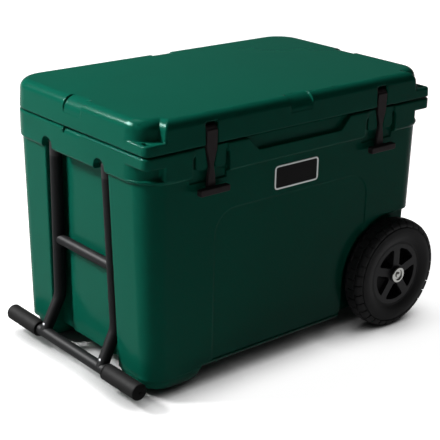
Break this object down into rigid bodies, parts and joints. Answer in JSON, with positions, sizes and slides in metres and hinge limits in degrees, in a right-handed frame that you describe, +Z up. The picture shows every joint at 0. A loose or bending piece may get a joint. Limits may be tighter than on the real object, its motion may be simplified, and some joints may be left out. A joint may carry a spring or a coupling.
{
  "type": "wheeled cooler box",
  "caption": "Insulated hard cooler with a hinged lid, rubber T-grip latches, a folding tube handle at one end and lugged wheels at the other.",
  "frame": {"origin": "centre of the whole cooler's footprint, on the ground", "axes": "+Z up, +X along the length from the handle end to the wheel end, +Y from the latches at the front to the hinges at the back"},
  "size_m": [0.7162, 0.473, 0.495],
  "materials": {
    "shell": "fine moulded texture, dark green",
    "foam": "closed-cell foam, cream",
    "plate": "black face with a bare silver border",
    "seal": "soft black seal",
    "steel": "plain turned steel",
    "drain": "black moulded plastic",
    "tube": "charcoal powder coat on aluminium tube",
    "latch": "satin moulded rubber",
    "pad": "matt non-slip rubber",
    "nylon": "black nylon",
    "cap": "bright pressed steel",
    "tyre": "solid rubber with a lugged tread",
    "hub": "black moulded nylon",
    "knuckle": "black glass-filled nylon",
    "grip": "matt sleeve grip"
  },
  "bodies": {
    "tub": {"tub_shell": "shell", "tub_foam": "foam", "name_plate": "plate", "axle": "steel", "drain_spout": "drain", "foot_pad_front": "pad", "axle_bush_front": "nylon", "wheel_spacer_front": "nylon", "hub_cap_front": "cap", "handle_pin_front": "steel", "foot_pad_back": "pad", "axle_bush_back": "nylon", "wheel_spacer_back": "nylon", "hub_cap_back": "cap", "handle_pin_back": "steel"},
    "lid": {"lid_shell": "shell", "lid_foam": "foam", "lid_gasket": "seal", "hinge_pin_left": "steel", "latch_pin_left": "steel", "hinge_pin_right": "steel", "latch_pin_right": "steel"},
    "latch_left": {"latch_left": "latch"},
    "latch_right": {"latch_right": "latch"},
    "handle": {"handle_crossbar": "tube", "handle_grip_bar": "tube", "handle_upright_front": "tube", "handle_knuckle_front": "knuckle", "handle_grip_front": "grip", "handle_upright_back": "tube", "handle_knuckle_back": "knuckle", "handle_grip_back": "grip"},
    "wheel_front": {"tyre_front": "tyre", "wheel_hub_front": "hub", "wheel_bush_front": "nylon"},
    "wheel_back": {"tyre_back": "tyre", "wheel_hub_back": "hub", "wheel_bush_back": "nylon"},
    "drain_plug": {"drain_plug": "drain", "drain_gasket": "seal"}
  },
  "joints": [
    {"name": "lid_hinge", "type": "hinge", "parent": "tub", "child": "lid", "pos_m": [0, 0.2116, 0.442], "axis": [-1, 0, 0], "range_deg": [0, 100]},
    {"name": "latch_left_swing", "type": "hinge", "parent": "lid", "child": "latch_left", "pos_m": [-0.2, -0.2, 0.468], "axis": [-1, 0, 0], "range_deg": [0, 105]},
    {"name": "latch_right_swing", "type": "hinge", "parent": "lid", "child": "latch_right", "pos_m": [0.2, -0.2, 0.468], "axis": [-1, 0, 0], "range_deg": [0, 105]},
    {"name": "handle_swing", "type": "hinge", "parent": "tub", "child": "handle", "pos_m": [-0.316, 0, 0.398], "axis": [0, 1, 0], "range_deg": [0, 95]},
    {"name": "wheel_front_spin", "type": "hinge", "parent": "tub", "child": "wheel_front", "pos_m": [0.2506, -0.2095, 0.1075], "axis": [0, 1, 0], "continuous": true},
    {"name": "wheel_back_spin", "type": "hinge", "parent": "tub", "child": "wheel_back", "pos_m": [0.2506, 0.2095, 0.1075], "axis": [0, 1, 0], "continuous": true},
    {"name": "drain_plug_turn", "type": "hinge", "parent": "tub", "child": "drain_plug", "pos_m": [0.32, 0, 0.153], "axis": [1, 0, 0], "range_deg": [0, 540]}
  ]
}
